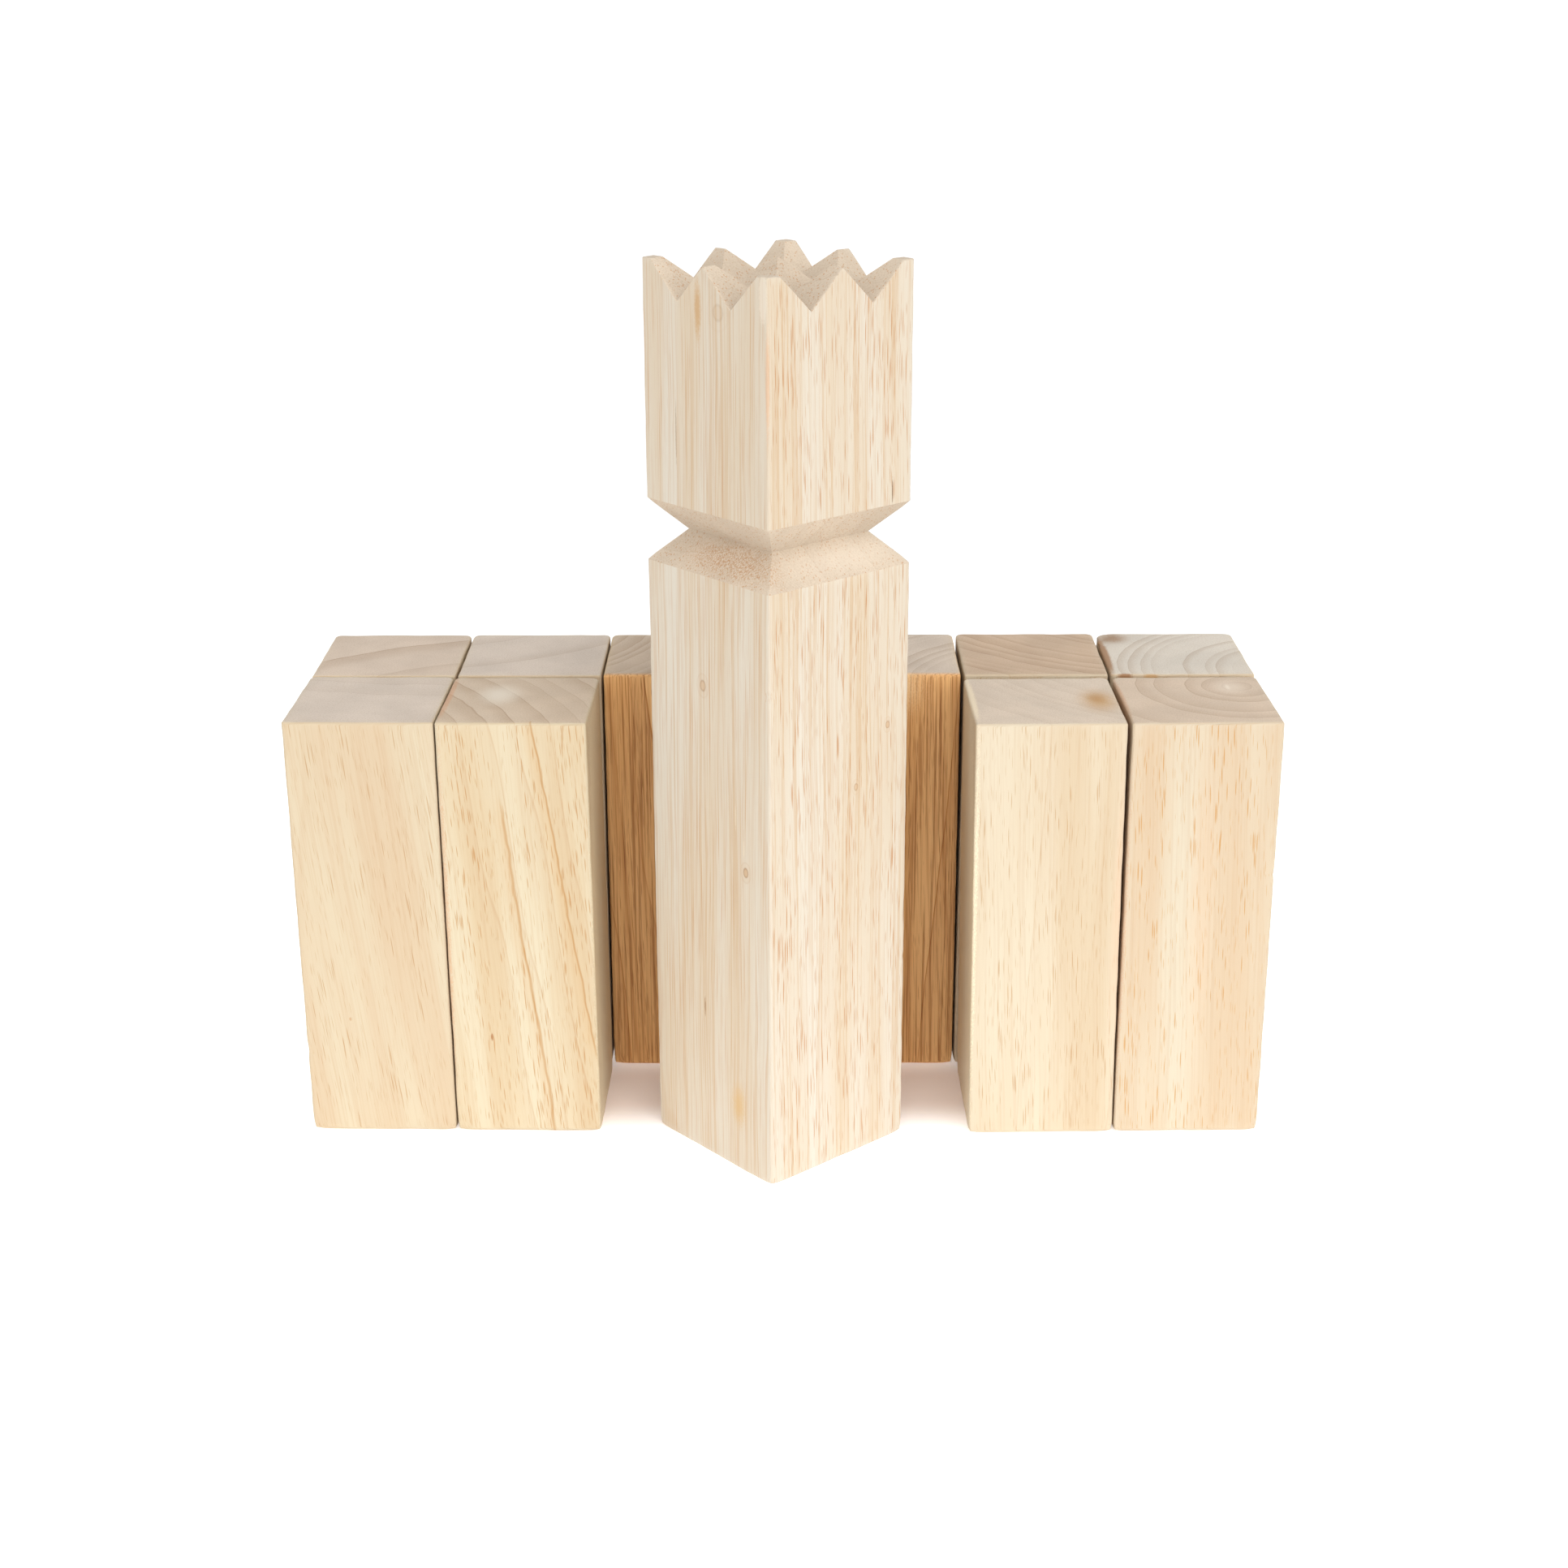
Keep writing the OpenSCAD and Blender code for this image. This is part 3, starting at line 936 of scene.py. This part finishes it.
def build_set():
    """Every block, riding on its own body in place of its CAD node."""
    for seed, node in enumerate(frame["record"]["behaviour"]["bodies"]):
        is_king = node == "king"
        block = King(node) if is_king else Block(node)
        piece = build_block(block, king_surface if is_king else kubb_surface, seed, SCARS.get(node, ()))
        piece.data.materials.append(wood(node + "_wood", KING_LOOK if is_king else LOOKS[node], seed))
        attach(piece, node)
        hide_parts(node)


# ---------------------------------------------------------------- floor, light and camera

# The camera's place in metres, how far it looks down, turns and rolls, and its field of view, in degrees
CAMERA_PLACE = (0.0032, -0.7668, 0.4064)
CAMERA_DOWN = 19.99
CAMERA_YAW = -0.12
CAMERA_ROLL = -0.14
CAMERA_FIELD = 35.36
FLOOR_SIZE = 60.0
# The sky brightens from SKY_STRENGTH to HORIZON_STRENGTH between these heights of a direction's z
SKY_STRENGTH = 0.74
HORIZON_STRENGTH = 1.1
HORIZON_LOW = 0.04
HORIZON_HIGH = 0.3
# The two soft lights: name, strength, and how far they stand to the right of straight in front, in degrees
LIGHTS = (("key", 2.03, 24), ("fill", 0.38, -34))
# How wide and soft they are, and how high they stand, in degrees
LIGHT_SPREAD = 75
LIGHT_UP = 32
# The floor's glow fades out between these distances from the set's footprint
GLOW_START = 0.012
GLOW_END = 0.7
GLOW_STRENGTH = 0.6
# Painted shade between the blocks: this far inside the footprint, the floor is tinted warmer as shade with
# warm bounce light, and glows less, in that warm tint, as painted bounce light
GAP_SHADE_START = 0.03
GAP_SHADE_END = 0.062
GAP_SHADE_TINT = (0.9, 0.79, 0.73, 1.0)
GAP_BOUNCE_GLOW = 0.1


def build_floor():
    """A plain white floor that reaches the horizon, with painted warm shade and bounce light between the
    blocks.

    Like a light table, it glows round the set.
    """
    bpy.ops.mesh.primitive_plane_add(size=FLOOR_SIZE)
    floor = bpy.context.object
    floor.name = "floor"
    g = Graph("floor")
    place = g.node("ShaderNodeTexCoord").outputs["Object"]
    grain = g.noise(g.vector("MULTIPLY", place, (40.0, 40.0, 40.0)))
    tone = g.blend(grain, (0.93, 0.93, 0.93, 1.0), (0.97, 0.97, 0.97, 1.0))
    low, high = cad_box
    x, y, z = g.separate(g.vector("SUBTRACT", place, tuple((low + high) / 2)))
    out_x = g.math("SUBTRACT", g.math("ABSOLUTE", x), (high.x - low.x) / 2)
    out_y = g.math("SUBTRACT", g.math("ABSOLUTE", y), (high.y - low.y) / 2)
    outside = g.math("MAXIMUM", out_x, out_y)
    # Painted shade and bounce light: the floor between the blocks is tinted warm and glows faintly warm
    inside = g.ease(outside, -GAP_SHADE_START, -GAP_SHADE_END)
    tone = g.blend(inside, tone, GAP_SHADE_TINT)
    glow = g.math("MULTIPLY", g.ease(outside, GLOW_END, GLOW_START), GLOW_STRENGTH)
    glow = g.lerp(inside, glow, GAP_BOUNCE_GLOW)
    values = {
        "Base Color": tone,
        "Roughness": 0.9,
        "Specular IOR Level": 0.1,
        "Emission Color": g.blend(inside, (1.0, 1.0, 1.0, 1.0), GAP_SHADE_TINT),
        "Emission Strength": glow,
    }
    shader = g.node("ShaderNodeBsdfPrincipled", values)
    g.node("ShaderNodeOutputMaterial", {"Surface": shader.outputs[0]})
    floor.data.materials.append(g.material)


def build_light():
    """A white studio: a sky brighter at the horizon, and two big soft lights in front, left and right."""
    world = bpy.data.worlds.new("studio")
    world.use_nodes = True
    nodes, links = world.node_tree.nodes, world.node_tree.links
    direction = nodes.new("ShaderNodeTexCoord").outputs["Generated"]
    height = nodes.new("ShaderNodeSeparateXYZ")
    links.new(direction, height.inputs[0])
    glow = nodes.new("ShaderNodeMapRange")
    glow.interpolation_type = "SMOOTHSTEP"
    glow.inputs["From Min"].default_value = HORIZON_LOW
    glow.inputs["From Max"].default_value = HORIZON_HIGH
    glow.inputs["To Min"].default_value = HORIZON_STRENGTH
    glow.inputs["To Max"].default_value = SKY_STRENGTH
    links.new(height.outputs["Z"], glow.inputs["Value"])
    background = nodes["Background"]
    background.inputs["Color"].default_value = (1.0, 1.0, 1.0, 1.0)
    links.new(glow.outputs[0], background.inputs["Strength"])
    bpy.context.scene.world = world
    up = math.radians(LIGHT_UP)
    for name, strength, degrees_right in LIGHTS:
        lamp = bpy.data.lights.new(name, "SUN")
        lamp.angle = math.radians(LIGHT_SPREAD)
        lamp.energy = strength
        lamp.color = (1.0, 0.99, 0.97)
        light = bpy.data.objects.new(name, lamp)
        bpy.context.scene.collection.objects.link(light)
        right = math.radians(degrees_right)
        towards = Vector((math.sin(right) * math.cos(up), -math.cos(right) * math.cos(up), math.sin(up)))
        light.rotation_euler = towards.to_track_quat("Z", "Y").to_euler()


def build_camera():
    """The camera at the viewing angle of the picture that the set is made after."""
    lens = bpy.data.cameras.new("camera")
    lens.sensor_width = 36.0
    lens.lens = lens.sensor_width / 2 / math.tan(math.radians(CAMERA_FIELD / 2))
    lens.clip_start = 0.01
    lens.clip_end = 100.0
    camera = bpy.data.objects.new("camera", lens)
    bpy.context.scene.collection.objects.link(camera)
    roll = Matrix.Rotation(math.radians(CAMERA_ROLL), 4, "Z")
    pitch = Matrix.Rotation(math.radians(90 - CAMERA_DOWN), 4, "X")
    yaw = Matrix.Rotation(math.radians(-CAMERA_YAW), 4, "Z")
    camera.matrix_world = Matrix.Translation(CAMERA_PLACE) @ yaw @ pitch @ roll
    bpy.context.scene.camera = camera


build_set()
build_floor()
build_light()
build_camera()
bpy.context.scene.view_settings.view_transform = "Standard"
